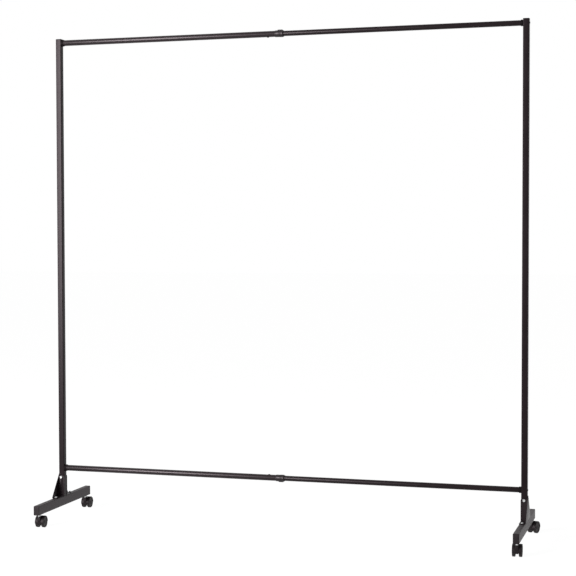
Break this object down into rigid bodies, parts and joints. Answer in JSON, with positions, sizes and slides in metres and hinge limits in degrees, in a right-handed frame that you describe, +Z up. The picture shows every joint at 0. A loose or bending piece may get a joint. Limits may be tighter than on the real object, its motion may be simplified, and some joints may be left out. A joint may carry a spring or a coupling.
{
  "type": "expandable room divider frame",
  "caption": "Free-standing room divider frame: square posts on rolling feet, joined by telescoping round bars that widen the opening for a hanging cloth panel.",
  "frame": {"origin": "on the floor, midway between the two posts", "axes": "+X along the bars from the half with the outer tubes to the half with the inner tubes, +Y to the rear, away from the bolt heads, +Z up"},
  "size_m": [2.0758, 0.5438, 2.0958],
  "materials": {
    "powder_coat": "satin black powder coat on steel tube and sheet",
    "cap_plastic": "black moulded nylon, fine texture",
    "caster_plastic": "black moulded nylon, smooth",
    "wheel_plastic": "black moulded nylon, smooth",
    "zinc": "bright zinc plate"
  },
  "bodies": {
    "frame_left": {"left_post": "powder_coat", "left_post_cap": "cap_plastic", "left_foot": "powder_coat", "left_foot_cap_front": "cap_plastic", "left_foot_cap_rear": "cap_plastic", "left_bracket": "powder_coat", "left_post_bolt": "zinc", "left_post_nut": "zinc", "left_foot_bolt_front": "zinc", "left_foot_bolt_rear": "zinc", "top_outer_tube": "powder_coat", "top_stop_button": "powder_coat", "top_socket_left": "cap_plastic", "top_screw_left": "powder_coat", "bottom_outer_tube": "powder_coat", "bottom_stop_button": "powder_coat", "bottom_socket_left": "cap_plastic", "bottom_screw_left": "powder_coat", "caster_left_front_stem": "zinc", "caster_left_rear_stem": "zinc"},
    "frame_right": {"right_post": "powder_coat", "right_post_cap": "cap_plastic", "right_foot": "powder_coat", "right_foot_cap_front": "cap_plastic", "right_foot_cap_rear": "cap_plastic", "right_bracket": "powder_coat", "right_post_bolt": "zinc", "right_post_nut": "zinc", "right_foot_bolt_front": "zinc", "right_foot_bolt_rear": "zinc", "top_inner_tube": "powder_coat", "top_inner_plug": "cap_plastic", "top_socket_right": "cap_plastic", "top_screw_right": "powder_coat", "bottom_inner_tube": "powder_coat", "bottom_inner_plug": "cap_plastic", "bottom_socket_right": "cap_plastic", "bottom_screw_right": "powder_coat", "caster_right_front_stem": "zinc", "caster_right_rear_stem": "zinc"},
    "lock_top": {"top_collar": "cap_plastic"},
    "lock_bottom": {"bottom_collar": "cap_plastic"},
    "swivel_left_front": {"caster_left_front_hood": "caster_plastic", "caster_left_front_axle": "zinc"},
    "wheel_left_front_left": {"caster_left_front_wheel_left": "wheel_plastic"},
    "wheel_left_front_right": {"caster_left_front_wheel_right": "wheel_plastic"},
    "swivel_left_rear": {"caster_left_rear_hood": "caster_plastic", "caster_left_rear_axle": "zinc"},
    "wheel_left_rear_left": {"caster_left_rear_wheel_left": "wheel_plastic"},
    "wheel_left_rear_right": {"caster_left_rear_wheel_right": "wheel_plastic"},
    "swivel_right_front": {"caster_right_front_hood": "caster_plastic", "caster_right_front_axle": "zinc"},
    "wheel_right_front_left": {"caster_right_front_wheel_left": "wheel_plastic"},
    "wheel_right_front_right": {"caster_right_front_wheel_right": "wheel_plastic"},
    "swivel_right_rear": {"caster_right_rear_hood": "caster_plastic", "caster_right_rear_axle": "zinc"},
    "wheel_right_rear_left": {"caster_right_rear_wheel_left": "wheel_plastic"},
    "wheel_right_rear_right": {"caster_right_rear_wheel_right": "wheel_plastic"}
  },
  "joints": [
    {"name": "expand", "type": "slide", "parent": "frame_left", "child": "frame_right", "axis": [1, 0, 0], "range_m": [-0.81, 0.05]},
    {"name": "twist_top", "type": "hinge", "parent": "frame_left", "child": "lock_top", "pos_m": [0, 0, 2.0785], "axis": [1, 0, 0], "range_deg": [0, 90]},
    {"name": "twist_bottom", "type": "hinge", "parent": "frame_left", "child": "lock_bottom", "pos_m": [0, 0, 0.2225], "axis": [1, 0, 0], "range_deg": [0, 90]},
    {"name": "swivel_left_front", "type": "hinge", "parent": "frame_left", "child": "swivel_left_front", "pos_m": [-1.01, -0.232, 0.0489], "axis": [0, 0, 1], "continuous": true},
    {"name": "roll_left_front_left", "type": "hinge", "parent": "swivel_left_front", "child": "wheel_left_front_left", "pos_m": [-1.01153, -0.21005, 0.02355], "axis": [0.9976, 0.0698, 0], "continuous": true},
    {"name": "roll_left_front_right", "type": "hinge", "parent": "swivel_left_front", "child": "wheel_left_front_right", "pos_m": [-1.01153, -0.21005, 0.02355], "axis": [0.9976, 0.0698, 0], "continuous": true},
    {"name": "swivel_left_rear", "type": "hinge", "parent": "frame_left", "child": "swivel_left_rear", "pos_m": [-1.01, 0.232, 0.0489], "axis": [0, 0, 1], "continuous": true},
    {"name": "roll_left_rear_left", "type": "hinge", "parent": "swivel_left_rear", "child": "wheel_left_rear_left", "pos_m": [-1.01077, 0.25399, 0.02355], "axis": [0.9994, 0.0349, 0], "continuous": true},
    {"name": "roll_left_rear_right", "type": "hinge", "parent": "swivel_left_rear", "child": "wheel_left_rear_right", "pos_m": [-1.01077, 0.25399, 0.02355], "axis": [0.9994, 0.0349, 0], "continuous": true},
    {"name": "swivel_right_front", "type": "hinge", "parent": "frame_right", "child": "swivel_right_front", "pos_m": [1.01, -0.232, 0.0489], "axis": [0, 0, 1], "continuous": true},
    {"name": "roll_right_front_left", "type": "hinge", "parent": "swivel_right_front", "child": "wheel_right_front_left", "pos_m": [1.00904, -0.21002, 0.02355], "axis": [0.999, 0.0436, 0], "continuous": true},
    {"name": "roll_right_front_right", "type": "hinge", "parent": "swivel_right_front", "child": "wheel_right_front_right", "pos_m": [1.00904, -0.21002, 0.02355], "axis": [0.999, 0.0436, 0], "continuous": true},
    {"name": "swivel_right_rear", "type": "hinge", "parent": "frame_right", "child": "swivel_right_rear", "pos_m": [1.01, 0.232, 0.0489], "axis": [0, 0, 1], "continuous": true},
    {"name": "roll_right_rear_left", "type": "hinge", "parent": "swivel_right_rear", "child": "wheel_right_rear_left", "pos_m": [1.0168, 0.25292, 0.02355], "axis": [0.9511, -0.309, 0], "continuous": true},
    {"name": "roll_right_rear_right", "type": "hinge", "parent": "swivel_right_rear", "child": "wheel_right_rear_right", "pos_m": [1.0168, 0.25292, 0.02355], "axis": [0.9511, -0.309, 0], "continuous": true}
  ]
}
